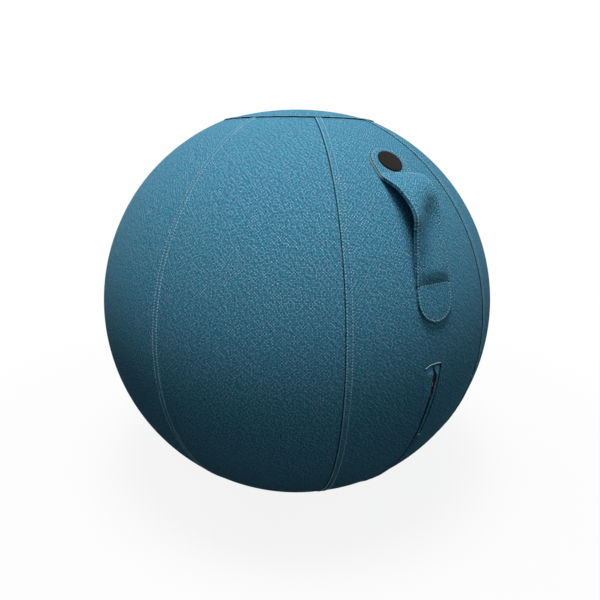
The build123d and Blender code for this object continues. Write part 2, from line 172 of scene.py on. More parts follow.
def lay_mesh(name, points, faces, uv=None, shade=None, crease=50.0):
    """Object from points and a list of index arrays; coincident points are welded and empty faces dropped."""
    grid = np.round(points / WELD).astype(np.int64)
    _, first, back = np.unique(grid, axis=0, return_index=True, return_inverse=True)
    back = back.ravel()
    corners, sizes, sources = [], [], []
    for f in faces:
        w = back[f]
        differ = w != np.roll(w, -1, axis=1)
        count = differ.sum(1)
        for n in range(3, f.shape[1] + 1):
            pick = count == n
            if pick.any():
                corners.append(w[pick][differ[pick]])
                sources.append(f[pick][differ[pick]])
                sizes.append(np.full(pick.sum(), n))
    corners = np.concatenate(corners)
    sources = np.concatenate(sources)
    sizes = np.concatenate(sizes)
    used, corners = np.unique(corners, return_inverse=True)
    corners = corners.ravel().astype(np.int32)
    mesh = bpy.data.meshes.new(name)
    mesh.vertices.add(len(used))
    mesh.vertices.foreach_set("co", points[first[used]].astype(np.float32).ravel())
    mesh.loops.add(len(corners))
    mesh.loops.foreach_set("vertex_index", corners)
    mesh.polygons.add(len(sizes))
    starts = (np.cumsum(sizes) - sizes).astype(np.int32)
    mesh.polygons.foreach_set("loop_start", starts)
    mesh.update(calc_edges=True)
    if uv is not None:
        layer = mesh.uv_layers.new(name="weave")
        layer.uv.foreach_set("vector", uv[sources].astype(np.float32).ravel())
    if shade is not None:
        # Painted shade: the shade grid is kept as a point attribute that darkens the cloth's colour at seams, sunk
        # rows and edges, where shade falls.
        painted_shade = mesh.attributes.new("painted_shade", "FLOAT", "POINT")
        painted_shade.data.foreach_set("value", shade[first[used]].astype(np.float32))
    mesh.shade_smooth()
    mesh.set_sharp_from_angle(angle=math.radians(crease))
    made = bpy.data.objects.new(name, mesh)
    bpy.context.scene.collection.objects.link(made)
    return made


def slab_faces(rows, cols, keep=None, wrap=False):
    """Faces of a closed skin between two grids: the kept cells of both, and a rim round what is kept."""
    index = np.arange(rows * cols).reshape(rows, cols)
    if wrap:
        index = np.concatenate([index, index[:, :1]], 1)
    if keep is None:
        keep = np.ones((rows - 1, index.shape[1] - 1), bool)
    under = rows * cols
    a, b, c, d = index[:-1, :-1], index[:-1, 1:], index[1:, 1:], index[1:, :-1]
    over = np.stack([a, b, c, d], -1)[keep]
    k = np.pad(keep, 1)
    if wrap:
        k[1:-1, 0] = keep[:, -1]
        k[1:-1, -1] = keep[:, 0]
    crosswise = index[:, 1:], index[:, :-1], k[1:, 1:-1], k[:-1, 1:-1]
    lengthwise = index[:-1], index[1:], k[1:-1, 1:], k[1:-1, :-1]
    rims = []
    for p, q, one, other in (crosswise, lengthwise):
        for a, b, kept, cut in ((p, q, one, other), (q, p, other, one)):
            rims.append(np.stack([a, b, b + under, a + under], -1)[kept & ~cut])
    return [over, over[:, ::-1] + under] + [r for r in rims if len(r)]


def slab(name, over, under, uv, shade=None, keep=None, wrap=False, crease=50.0):
    """Closed piece of cloth or felt between an outer and an inner grid, faces pointing outwards."""
    rows, cols = over.shape[:2]
    faces = slab_faces(rows, cols, keep, wrap)
    f = faces[0]
    both = np.concatenate([over.reshape(-1, 3), under.reshape(-1, 3)])
    normal = np.cross(both[f[:, 1]] - both[f[:, 0]], both[f[:, 2]] - both[f[:, 0]])
    outward = both[f[:, 0]] - both[f[:, 0] + rows * cols]
    if (normal * outward).sum() < 0:
        faces = [x[:, ::-1] for x in faces]
    flat = uv.reshape(-1, 2)
    dark = None if shade is None else np.concatenate([shade.ravel(), shade.ravel()])
    return lay_mesh(name, both, faces, np.concatenate([flat, flat]), dark, crease)


def stitches(name, points, along, up, length, seed):
    """Row of thread arcs. Each is a tube about point + s*length*along + rise(s)*up, its two ends under the cloth."""
    rng = np.random.default_rng(seed)
    count = len(points)
    up = unit(up)
    side = unit(np.cross(along, up))
    lean = rng.normal(0, 0.05, (count, 1))
    along = unit(np.cross(up, side)) + side * lean
    points = points + side * rng.normal(0, 0.00006, (count, 1))
    size = length * rng.uniform(0.94, 1.06, (count, 1, 1))
    s = np.array([-0.5, -0.44, -0.24, 0.0, 0.24, 0.44, 0.5])
    rise = THREAD_RADIUS * np.array([-1.4, -0.5, 0.42, 0.6, 0.42, -0.5, -1.4])
    girth = THREAD_RADIUS * np.array([0.0, 0.8, 1.0, 1.05, 1.0, 0.8, 0.0])
    sides = 6
    turn = np.arange(sides) * 2 * math.pi / sides
    line = points[:, None] + along[:, None] * (size * s[None, :, None])
    line = line + up[:, None] * rise[None, :, None]
    ring = np.cos(turn)[None, None, :, None] * side[:, None, None]
    ring = ring + 0.8 * np.sin(turn)[None, None, :, None] * up[:, None, None]
    p = line[:, :, None] + ring * girth[None, :, None, None]
    cells = np.arange(count * len(s) * sides).reshape(count, len(s), sides)
    cells = np.concatenate([cells, cells[:, :, :1]], 2)
    a, b, c, d = cells[:, :-1, :-1], cells[:, 1:, :-1], cells[:, 1:, 1:], cells[:, :-1, 1:]
    faces = np.stack([a, b, c, d], -1).reshape(-1, 4)
    across = np.broadcast_to(turn[None, None, :] / UV_TURN * UV_ROUND, p.shape[:3])
    down = np.broadcast_to(s[None, :, None] * length, p.shape[:3])
    down = down + np.arange(count)[:, None, None] * UV_STEP
    uv = np.stack([across, down], -1).reshape(-1, 2)
    return lay_mesh(name, p.reshape(-1, 3), [faces], uv, crease=80.0)


# Materials

class Layout:
    """A node tree that nodes are added to."""

    def __init__(self, tree):
        self.tree = tree

    def put(self, node, values):
        """Set a node's sockets from values or from other sockets."""
        for key, value in values.items():
            if isinstance(value, bpy.types.NodeSocket):
                self.tree.links.new(value, node.inputs[key])
            else:
                node.inputs[key].default_value = value

    def add(self, kind, values=None, **settings):
        """New node with its settings and sockets."""
        node = self.tree.nodes.new(kind)
        for key, value in settings.items():
            setattr(node, key, value)
        self.put(node, values or {})
        return node

    def sum(self, operation, a, b=0.0, c=0.0):
        """One step of arithmetic."""
        node = self.add("ShaderNodeMath", {0: a, 1: b, 2: c}, operation=operation)
        return node.outputs[0]

    def mix(self, share, a, b):
        """Number between a and b."""
        node = self.add("ShaderNodeMix", {0: share, 2: a, 3: b}, data_type="FLOAT")
        return node.outputs[0]

    def tint(self, share, a, b, blend="MIX"):
        """Colour between a and b."""
        node = self.add("ShaderNodeMix", {0: share, 6: a, 7: b}, data_type="RGBA", blend_type=blend)
        return node.outputs[2]

    def ramp(self, value, stops):
        """Colour looked up along a ramp of (place, colour), in rising order."""
        node = self.add("ShaderNodeValToRGB", {0: value})
        ends = node.color_ramp.elements
        for place, _ in stops[1:-1]:
            ends.new(place)
        for end, (place, colour) in zip(ends, stops):
            end.position = place
            end.color = (*colour, 1.0)
        return node.outputs[0]

    def noise(self, where, scale, detail=2.0, roughness=0.5):
        """Noise between 0 and 1."""
        values = {"Vector": where, "Scale": scale, "Detail": detail, "Roughness": roughness}
        return self.add("ShaderNodeTexNoise", values).outputs[0]

    def place(self):
        """Object coordinates, in metres."""
        return self.add("ShaderNodeTexCoord").outputs["Object"]

    def weave(self):
        """Place on the weave map, as a vector and as two numbers, in metres."""
        spot = self.add("ShaderNodeUVMap", uv_map="weave").outputs[0]
        parts = self.add("ShaderNodeSeparateXYZ", {0: spot}).outputs
        return spot, parts[0], parts[1]

    def join(self, x, y, z=0.0):
        """Vector from three numbers."""
        return self.add("ShaderNodeCombineXYZ", {0: x, 1: y, 2: z}).outputs[0]


class Recipe(Layout):
    """A material laid out as nodes on one principled shader."""

    def __init__(self, name, colour, roughness, **finish):
        self.material = bpy.data.materials.new(name)
        self.material.use_nodes = True
        super().__init__(self.material.node_tree)
        self.shader = self.tree.nodes["Principled BSDF"]
        self.put(self.shader, {"Base Color": (*colour, 1.0), "Roughness": roughness, **finish})

    def relief(self, height, strength, distance):
        """Bump on the shader's normal."""
        bumped = self.add("ShaderNodeBump", {"Height": height, "Strength": strength, "Distance": distance})
        self.put(self.shader, {"Normal": bumped.outputs[0]})


# The weave: bends of the yarn in yarn widths, shades in shares of the colour ramp
SWAY_SCALE, SLUB_SCALE, CLOUD_SCALE, FUZZ_SCALE = 60.0, 420.0, 14.0, 2600.0
SWAY_U, SWAY_V = 0.7, -0.6
SLUB = 0.6
OVAL_END = 0.65
TWIST_ACROSS, TWIST_ALONG = 18.8, 9.4
FLECK, FLECK_NEAR = 0.38, -0.17
DRIFT_RUN, DRIFT = 0.45, 0.1
WARP_APART, WEFT_APART = 7.13, 5.71
PLAIN_SHADE, WEFT_SHADE = 0.5, -0.16
# Painted shade and highlight of the yarn's relief: shares that the colour is multiplied by in the hollows between
# beads, on their crests and along the twist; then how deep the painted shade at seams, rows and edges darkens it.
HOLLOW_SHADE, CREST_LIGHT, TWIST_SHADE = 0.28, 1.26, 0.12
PAINTED_SHADE_DEPTH = -0.9
WARM_FLECK, COOL_FLECK = (1.22, 0.96, 1.0, 1.0), (0.8, 1.03, 0.99, 1.0)
CLOUD = (0.9, 0.95, 1.03, 1.0)


def hopsack(name, yarn, dark, middle, light, **finish):
    """Plain weave of a paler warp and a darker weft, over and under by turns in cells of one yarn width. Shade = the
    yarn's tone + the cell's fleck against its neighbours' + the yarn's drift. Each crossing is an oval bead along its
    yarn, with slanting lines of twist. The colour carries painted shade in the hollows between the beads and along the
    twist, a painted highlight on their crests, and the painted shade of the mesh at seams, rows and edges."""
    m = Recipe(name, middle, 0.92, **finish)
    spot, u, v = m.weave()
    sway = m.noise(spot, SWAY_SCALE, 2.0)
    slub = m.add("ShaderNodeTexNoise", {"Vector": spot, "Scale": SLUB_SCALE, "Detail": 1.0}).outputs["Color"]
    slub = m.add("ShaderNodeSeparateXYZ", {0: slub})
    u, v = (
        m.sum("MULTIPLY_ADD", shift, SLUB, m.sum("MULTIPLY_ADD", at, 1 / yarn, m.sum("MULTIPLY", sway, bend)))
        for at, bend, shift in ((u, SWAY_U, slub.outputs[0]), (v, SWAY_V, slub.outputs[1]))
    )
    warp, weft = m.sum("FLOOR", u), m.sum("FLOOR", v)
    across, along = m.sum("FRACT", u), m.sum("FRACT", v)
    turn = m.sum("MULTIPLY", m.sum("FRACT", m.sum("MULTIPLY", m.sum("ADD", warp, weft), 0.5)), 2.0)
    arch_u, arch_v = (
        m.sum("MULTIPLY", m.sum("MULTIPLY", t, m.sum("SUBTRACT", 1.0, t)), 4.0) for t in (across, along)
    )
    warp_oval, weft_oval = (
        m.sum("MULTIPLY_ADD", end, OVAL_END, m.sum("SUBTRACT", side, OVAL_END))
        for side, end in ((arch_u, arch_v), (arch_v, arch_u))
    )
    bead = m.sum("SQRT", m.sum("MAXIMUM", m.mix(turn, warp_oval, weft_oval), 0.0))
    warp_ply = m.sum("MULTIPLY_ADD", u, TWIST_ACROSS, m.sum("MULTIPLY", v, TWIST_ALONG))
    weft_ply = m.sum("MULTIPLY_ADD", u, TWIST_ALONG, m.sum("MULTIPLY", v, TWIST_ACROSS))
    ply = m.sum("SINE", m.mix(turn, warp_ply, weft_ply))
    warp_spot = m.join(m.sum("MULTIPLY", warp, WARP_APART), m.sum("MULTIPLY", v, DRIFT_RUN))
    weft_spot = m.join(m.sum("MULTIPLY", u, DRIFT_RUN), m.sum("MULTIPLY", weft, WEFT_APART), 9.0)
    warp_shade, weft_shade = (m.noise(here, 1.0, 2.0, 0.6) for here in (warp_spot, weft_spot))
    drift = m.mix(turn, warp_shade, weft_shade)
    next_warp, next_weft = m.sum("ADD", warp, 1.0), m.sum("ADD", weft, 1.0)
    speck, beside, above = (
        m.add("ShaderNodeTexWhiteNoise", {"Vector": m.join(*cell)}, noise_dimensions="2D")
        for cell in ((warp, weft), (next_warp, weft), (warp, next_weft))
    )
    near = m.sum("MULTIPLY", m.sum("ADD", beside.outputs[0], above.outputs[0]), FLECK_NEAR)
    fleck = m.sum("MULTIPLY_ADD", speck.outputs[0], FLECK, near)
    shade = m.sum("ADD", m.sum("ADD", fleck, PLAIN_SHADE), m.sum("MULTIPLY", drift, DRIFT))
    shade = m.sum("MULTIPLY_ADD", turn, WEFT_SHADE, shade)
    tone = m.ramp(shade, [(0.05, dark), (0.5, middle), (0.95, light)])
    hue = m.add("ShaderNodeSeparateXYZ", {0: speck.outputs[1]}).outputs[1]
    tone = m.tint(1.0, tone, m.tint(hue, WARM_FLECK, COOL_FLECK), "MULTIPLY")
    cloud = m.noise(m.place(), CLOUD_SCALE, 3.0)
    tone = m.tint(m.sum("MULTIPLY_ADD", cloud, 0.7, -0.2), tone, CLOUD, "MULTIPLY")
    painted_shade = m.add("ShaderNodeAttribute", attribute_name="painted_shade").outputs["Fac"]
    # Painted shade in the hollows and along the twist, painted highlight on the crests, times the painted shade at
    # seams, rows and edges.
    bead_light_and_shade = m.sum("MULTIPLY_ADD", ply, TWIST_SHADE, m.mix(bead, HOLLOW_SHADE, CREST_LIGHT))
    painted_weave_shade = m.sum("MULTIPLY", bead_light_and_shade, m.sum("MULTIPLY_ADD", painted_shade, PAINTED_SHADE_DEPTH, 1.0))
    m.put(m.shader, {"Base Color": m.tint(1.0, tone, painted_weave_shade, "MULTIPLY")})
    fuzz = m.noise(m.place(), FUZZ_SCALE, 2.0)
    height = m.sum("MULTIPLY_ADD", ply, TWIST_SHADE, bead)
    m.relief(m.sum("MULTIPLY_ADD", fuzz, 0.3, height), 0.3, 0.0003)
    return m.material


def felt():
    """Pale needled felt: short fibres as stretched noise, with painted shade between them, where the same noise sinks
    the bump.
    """
    m = Recipe("pale_felt", (0.84, 0.68, 0.62), 0.95, **{"Sheen Weight": 0.2})
    spot = m.place()
    fibre = m.noise(m.add("ShaderNodeMapping", {0: spot, 3: (900.0, 900.0, 2600.0)}).outputs[0], 1.0, 3.0)
    # Painted shade: the fibre noise that raises the bump also darkens the colour between the fibres.
    colour = m.ramp(fibre, [(0.25, (0.66, 0.50, 0.45)), (0.5, (0.92, 0.76, 0.70)), (0.8, (0.97, 0.88, 0.83))])
    m.put(m.shader, {"Base Color": colour})
    m.relief(fibre, 0.5, 0.0004)
    return m.material


def topstitch_thread():
    """Twisted polyester thread: slanting ply lines along each stitch, with painted shade in their grooves and painted
    highlight on their crests; slight sheen.
    """
    m = Recipe("topstitch_thread", (0.60, 0.90, 0.96), 0.6, **{"Sheen Weight": 0.05, "Specular IOR Level": 0.15})
    _, u, v = m.weave()
    twist = m.sum("ADD", m.sum("MULTIPLY", u, 3142.0), m.sum("MULTIPLY", v, 9000.0))
    ply = m.sum("MULTIPLY_ADD", m.sum("SINE", twist), 0.5, 0.5)
    # Painted shade and highlight: the ply wave that drives the bump also darkens and lightens the colour.
    colour = m.ramp(ply, [(0.0, (0.42, 0.74, 0.84)), (1.0, (0.62, 0.88, 0.93))])
    m.put(m.shader, {"Base Color": colour})
    m.relief(ply, 0.4, 0.0001)
    return m.material


def zip_ribbon():
    """Black herringbone tape: fine slanting ribs that turn at each band, with painted shade between the ribs and
    painted highlight on them.
    """
    m = Recipe("zip_ribbon", (0.012, 0.013, 0.015), 0.85, **{"Sheen Weight": 0.1})
    _, u, v = m.weave()
    band = m.sum("PINGPONG", m.sum("MULTIPLY", u, 1 / 0.0022), 0.5)
    rib = m.sum("SINE", m.sum("MULTIPLY_ADD", v, 7800.0, m.sum("MULTIPLY", band, 14.0)))
    rib = m.sum("MULTIPLY_ADD", rib, 0.5, 0.5)
    # Painted shade and highlight: the rib wave that drives the bump also darkens and lightens the colour.
    m.put(m.shader, {"Base Color": m.ramp(rib, [(0.0, (0.006, 0.006, 0.008)), (1.0, (0.024, 0.026, 0.03))])})
    m.relief(rib, 0.6, 0.0002)
    return m.material


def moulded(name, colour, roughness, grain, depth, **finish):
    """Moulded plastic: a fine spark-eroded grain, and a faint drift of gloss and colour."""
    m = Recipe(name, colour, roughness, **finish)
    spot = m.place()
    fine = m.noise(spot, grain, 3.0)
    drift = m.noise(spot, 60.0, 2.0)
    rough = m.sum("ADD", m.sum("MULTIPLY_ADD", fine, 0.12, roughness - 0.1), m.sum("MULTIPLY", drift, 0.08))
    low = tuple(0.8 * x for x in colour)
    high = tuple(min(1.0, 1.2 * x) for x in colour)
    m.put(m.shader, {"Base Color": m.ramp(drift, [(0.3, low), (0.7, high)]), "Roughness": rough})
    m.relief(fine, 0.25, depth)
    return m.material


def bronze(name, deep, plain, bright):
    """Lacquered bronze: dark in the hollows, worn brighter along the edges, fine scratches."""
    m = Recipe(name, plain, 0.45, **{"Metallic": 0.85})
    spot = m.place()
    edge = m.add("ShaderNodeNewGeometry").outputs["Pointiness"]
    worn = m.sum("MULTIPLY_ADD", m.noise(spot, 900.0, 3.0), 0.5, m.sum("MULTIPLY_ADD", edge, 6.0, -3.0))
    scratch = m.noise(m.add("ShaderNodeMapping", {0: spot, 3: (9000.0, 900.0, 900.0)}).outputs[0], 1.0, 2.0)
    colour = m.ramp(worn, [(0.3, deep), (0.6, plain), (0.95, bright)])
    m.put(m.shader, {"Base Color": colour, "Roughness": m.sum("MULTIPLY_ADD", scratch, 0.3, 0.35)})
    m.relief(scratch, 0.15, 0.0001)
    return m.material


DEEP = (0.006, 0.070, 0.125)
TEAL = (0.073, 0.290, 0.440)
PALE = (0.300, 0.655, 0.860)
CLOTH_FINISH = {"Sheen Weight": 0.012, "Sheen Roughness": 0.5, "Specular IOR Level": 0.02}
cover_cloth = hopsack("cover_hopsack", YARN, DEEP, TEAL, PALE, **CLOTH_FINISH)
thread = topstitch_thread()
padding = felt()
ribbon = zip_ribbon()
badge_black = moulded("badge_black", (0.010, 0.008, 0.007), 0.6, 2200.0, 0.00006, **{"Specular IOR Level": 0.08})
tooth_black = moulded("tooth_black", (0.016, 0.016, 0.018), 0.38, 4000.0, 0.00005)
washer_black = moulded("washer_black", (0.05, 0.05, 0.05), 0.45, 3000.0, 0.00005)
valve_white = moulded("valve_white", (0.78, 0.78, 0.76), 0.4, 2600.0, 0.00004, **{"Subsurface Weight": 0.05})
ball_vinyl = moulded("ball_vinyl", (0.30, 0.32, 0.34), 0.5, 1500.0, 0.00008)
# Lit and shaded copies of one bronze: painted shade makes the slider's and pull's bronze near black, so that they stay
# dark in the zip's gap; the stops' bronze is lighter, a painted highlight meant to give them a glint.
shade_dark_bronze = bronze("shade_dark_bronze", (0.008, 0.006, 0.005), (0.016, 0.012, 0.009), (0.14, 0.105, 0.08))
glint_bright_bronze = bronze("glint_bright_bronze", (0.10, 0.075, 0.055), (0.34, 0.26, 0.20), (0.62, 0.50, 0.40))


def dress(piece, material, slot, *nodes):
    """Give a new piece its finish, let it ride on the cover, and hide the solids that it stands for."""
    piece.data.materials.append(material)
    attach(piece, "cover")
    if nodes:
        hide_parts(*nodes)


def sew(name, points, along, up, seed, length=STITCH_LENGTH):
    """A row of stitches on the cover."""
    dress(stitches(name, points, along, up, length, seed), thread, "cover_cloth")


# Cover panels

EDGE_IN = np.array([0.10, 0.10, 0.16, 0.34, 0.60, 0.90]) / 1000
EDGE_UP = np.array([-1.8, -0.8, -0.49, -0.24, -0.06, 0.0]) / 1000
EDGE_COUNT = len(EDGE_UP)
END_STEPS = np.array([0.0, 0.12, 0.3, 0.6, 1.0, 1.6]) / 1000
FOLD_STEPS = np.array([
    1.3, 1.7, 2.0, 2.3, 2.7, 3.4, 4.4, 5.4, 6.4, 7.3, 7.9, 8.3, 8.7, 9.1, 9.5, 10.2, 11.2, 12.4, 14.0,
]) / 1000
HEM_STEPS = np.array([1.4, 2.2, 3.4, 5.0, 7.0, 10.0]) / 1000
WINDOW_STEPS = np.array([0.0, 0.08, 0.25, 0.5, 0.8, 1.3, 1.8, 2.2, 2.6, 3.2, 4.4, 6.5, 10.0]) / 1000
PUCKER, PUCKER_REACH, PUCKER_WAVES = 0.00016, 0.018, (0.009, 0.05)
PULL, PULL_LEFT, PULL_RIGHT = 0.0004, 0.03, 0.022
TIGHT_SHARE, TIGHT_DEGREES = 0.3, (-62, -22)


def fold_relief(x):
    """Height of the lapped seam at a distance x from it: a raised band, puffed between two sunk stitch rows."""
    mm = x * 1000
    band = 0.75 * (1 - ease(mm, 7.6, 12.0))
    puff = 0.28 * bump(mm, 5.4, 2.2)
    inner, outer = (row * 1000 for row in STITCH_ROWS)
    return (band + puff - 0.34 * bump(mm, inner, 0.5) - 0.3 * bump(mm, outer, 0.55)) / 1000


def panel_height(x, width, elevation, seed):
    """Height of a panel's cloth: its fold at the left seam, pulled down towards both seams, with small puckers. The
    fold and the puckers are flatter low on the ball, where the cover is tight."""
    length = np.radians(elevation) * BALL
    right = width - x
    left_pucker = np.exp(-x / PUCKER_REACH) * ripple(length, seed, *PUCKER_WAVES)
    right_pucker = np.exp(-right / PUCKER_REACH) * ripple(length, seed + 7, *PUCKER_WAVES)
    pull = -PULL * np.exp(-x / PULL_LEFT) - PULL * np.exp(-right / PULL_RIGHT)
    tight = TIGHT_SHARE + (1 - TIGHT_SHARE) * ease(elevation, *TIGHT_DEGREES)
    return (fold_relief(x) + PUCKER * (left_pucker + right_pucker)) * tight + pull


def underside(height):
    """Height of a piece's inner face: a cloth's thickness under the ball, and deeper where the edge turns in."""
    return -CLOTH - CLOTH_SPACE + np.minimum(height + CLOTH, 0)


def seam_shade(x, wide=0.0008):
    """Painted shade in a seam's groove at a distance x from it: none from a width on, full from 0.6 mm inside that."""
    return np.clip((wide - x) / 0.0006, 0, 1)


def row_shade(x, *rows):
    """Painted shade along each sunk stitch row, where its needle holes are."""
    return sum(0.12 * bump(x * 1000, row * 1000, 0.8) for row in rows)


def window_half(e):
    """Half the width of the zip's window at an elevation: a smooth curve that narrows downwards."""
    return smooth_curve(e, WINDOW_DEGREES, WINDOW_HALVES) / 1000


def panel_place(x, elevation, left, height):
    """Point of a panel: x metres round the ball from the seam at azimuth left, at an elevation."""
    turn = np.degrees(x / (BALL * np.cos(np.radians(elevation))))
    return ball_point(left + turn, elevation, height)


def cut_window(x, width, e, half, height, shade):
    """Round off the front panel at the zip's window with painted shade along its edge, sink the row at its top, and
    tell which cells stay.
    """
    beside = np.abs(x - width / 2) - half
    plain = np.where((x < width / 2) & (e < WINDOW_TOP), LEFT_SHARE, 1.0)
    over = np.radians(e - WINDOW_TOP) * BALL
    far = np.where(over < 0, beside, np.where(beside < 0, over, np.hypot(beside, over)))
    far = np.clip(far, 0, None)
    height = height - WINDOW_DROP * plain * rounded(far, WINDOW_ROUND)
    height = height - 0.0003 * bump(far * 1000, 2.2, 0.55) * (over > -0.001)
    # Painted shade along the window's edge, faint on the left side below its top.
    shade = shade + np.clip((0.0020 - far) / 0.0012, 0, 1) * plain * (over < 0.001)
    inside = (beside < 1e-7) & (over < 1e-7)
    keep = ~(inside[:-1, :-1] & inside[:-1, 1:] & inside[1:, :-1] & inside[1:, 1:])
    return height, shade, keep


def sew_panel(number, name, left, limit):
    """Two rows of stitches along the fold at a panel's left seam."""
    count = int(2 * math.radians(limit - ROW_END) * BALL / STITCH_PITCH)
    e = np.linspace(-limit + ROW_END, limit - ROW_END, count)
    width = np.radians(GORE) * BALL * np.cos(np.radians(e))
    points, along = [], []
    for row in STITCH_ROWS:
        x = np.full(count, row)
        height = panel_height(x, width, e, 10 * number)
        points.append(panel_place(x, e, left, height))
        along.append(panel_place(x, e + 0.05, left, height) - points[-1])
    points, along = np.concatenate(points), np.concatenate(along)
    sew(name + "_topstitch", points, along, points - MIDDLE, number)


def make_panel(number, name):
    """One gore as a grid of (elevation, distance from its left seam), the front one with the zip's window."""
    left = -GORE / 2 + number * GORE
    front = number == 0
    limit = CAP_SEAM - math.degrees(SEAM_HALF / BALL)
    rows = np.linspace(-limit, limit, PANEL_ROWS)
    ends = np.degrees(END_STEPS / BALL)
    rows = np.concatenate([-limit + ends, rows[1:-1], limit - ends])
    if front:
        rows = np.concatenate([rows, WINDOW_TOP + np.degrees(WINDOW_STEPS[:-2] / BALL)])
    rows = np.unique(np.round(rows, 5))[:, None]
    width = np.radians(GORE) * BALL * np.cos(np.radians(rows))

    start = np.concatenate([EDGE_IN, FOLD_STEPS])
    stop = np.concatenate([EDGE_IN, HEM_STEPS])[::-1]
    if front:
        half = window_half(rows)
        inner = half * np.linspace(-0.75, 0.75, 5)[None]
        middle = width / 2 + np.concatenate([-half - WINDOW_STEPS[None, ::-1], inner, half + WINDOW_STEPS[None]], 1)
        share = np.linspace(0, 1, 12)[1:-1][None]
        before = start[-1] + share * (middle[:, :1] - start[-1])
        after = middle[:, -1:] + share * (width - stop[0] - middle[:, -1:])
        middle = np.concatenate([before, middle, after], 1)
    else:
        share = np.linspace(0, 1, PANEL_COLUMNS)[1:-1][None]
        middle = start[-1] + share * (width - stop[0] - start[-1])
    many = (len(rows), 1)
    x = np.concatenate([np.tile(start, many), middle, width - np.tile(stop, many)], 1)
    e = np.broadcast_to(rows, x.shape)

    height = panel_height(x, width, e, 10 * number)
    lip = np.zeros(x.shape[1])
    lip[:EDGE_COUNT] = EDGE_UP
    lip[-EDGE_COUNT:] = EDGE_UP[::-1]
    height = height + lip[None]
    gap = (limit - np.abs(e)) * math.pi / 180 * BALL
    height = height - EDGE_ROUND * rounded(gap, EDGE_ROUND)
    # Painted shade in the seam grooves at both sides and at the cap seams, and along the sunk stitch rows.
    shade = seam_shade(x, 0.0009) + seam_shade(width - x) + seam_shade(gap, 0.0011) + row_shade(x, *STITCH_ROWS)
    keep = None
    if front:
        height, shade, keep = cut_window(x, width, e, half, height, shade)
    over = panel_place(x, e, left, height)
    under = panel_place(x, e, left, underside(height))
    grain = np.stack([x - width / 2 + GRAIN_ACROSS * number, np.radians(e) * BALL + GRAIN_DOWN * number], -1)
    piece = slab(name + "_cloth", over, under, grain, np.clip(shade, 0, 1), keep)
    dress(piece, cover_cloth, "cover_cloth", name)
    sew_panel(number, name, left, limit)


# Round caps: the upper one, 1, and the lower one, -1

CAP_BAND = {1: 1.2, -1: 0.5}
CAP_ROW_HEIGHT = {1: 0.00092, -1: 0.00022}


def cap_point(azimuth, away, height, sign):
    """Point of a cap: its own flatter ball's middle + (radius + height) * unit vector at an angle from the axis."""
    a, t = np.broadcast_arrays(np.radians(azimuth), away / CAP_RADIUS)
    out = np.stack([np.sin(t) * np.sin(a), -np.sin(t) * np.cos(a), sign * np.cos(t)], -1)
    return MIDDLE - np.array([0.0, 0.0, sign * CAP_DROP]) + out * (CAP_RADIUS + height)[..., None]


def make_cap(name, sign):
    """A cap as rings of (distance from its edge, azimuth), its edge folded like the panels' seams; the lower one is
    settled flat where it meets the floor."""
    reach = math.asin(CAP_HALF / CAP_RADIUS) * CAP_RADIUS
    fold = FOLD_STEPS[FOLD_STEPS < 0.0070]
    inset = np.concatenate([EDGE_IN, fold, [0.0072, 0.0078, 0.0086, 0.0096, 0.011], np.linspace(0.014, reach, 26)])
    lip = np.zeros(len(inset))
    lip[:EDGE_COUNT] = EDGE_UP
    azimuth = np.linspace(0, 360, CAP_COLUMNS + 1)[:-1]
    x, a = np.meshgrid(inset, azimuth, indexing="ij")
    mm, far, turn = x * 1000, reach - x, np.radians(a)
    band = CAP_BAND[sign] * (1 - ease(mm, 6.0, 10.5)) + 0.2 * bump(mm, 4.4, 1.6)
    relief = (band - 0.32 * bump(mm, 2.0, 0.5)) / 1000
    relief = relief + 0.00014 * np.exp(-x / 0.016) * np.sin(turn * 37 + 2 * np.sin(turn * 5))
    over = cap_point(a, far, relief + lip[:, None], sign)
    under = cap_point(a, far, underside(lip[:, None]), sign)
    over[..., 2] = np.maximum(over[..., 2], 0.0)
    under[..., 2] = np.maximum(under[..., 2], CLOTH)
    grain = np.stack([far * np.sin(turn) + 0.5, far * np.cos(turn) + 0.3 * sign], -1)
    # Painted shade in the groove at the cap's seam and along its sunk stitch row.
    shade = np.clip(seam_shade(x, 0.0011) + row_shade(x, CAP_ROW), 0, 1)
    piece = slab(name + "_cloth", over, under, grain, shade, wrap=True)
    dress(piece, cover_cloth, "cover_cloth", name)
    count = int(2 * math.pi * (CAP_HALF - CAP_ROW) / STITCH_PITCH)
    a = np.linspace(0, 360, count, endpoint=False)
    height = np.full(count, CAP_ROW_HEIGHT[sign])
    here = cap_point(a, reach - CAP_ROW, height, sign)
    along = cap_point(a + 0.05, reach - CAP_ROW, height, sign) - here
    sew(name + "_topstitch", here, along, here - MIDDLE, 40 + sign)


# Strap: heights above the ball, in mm, along five lines from its left edge to its right edge

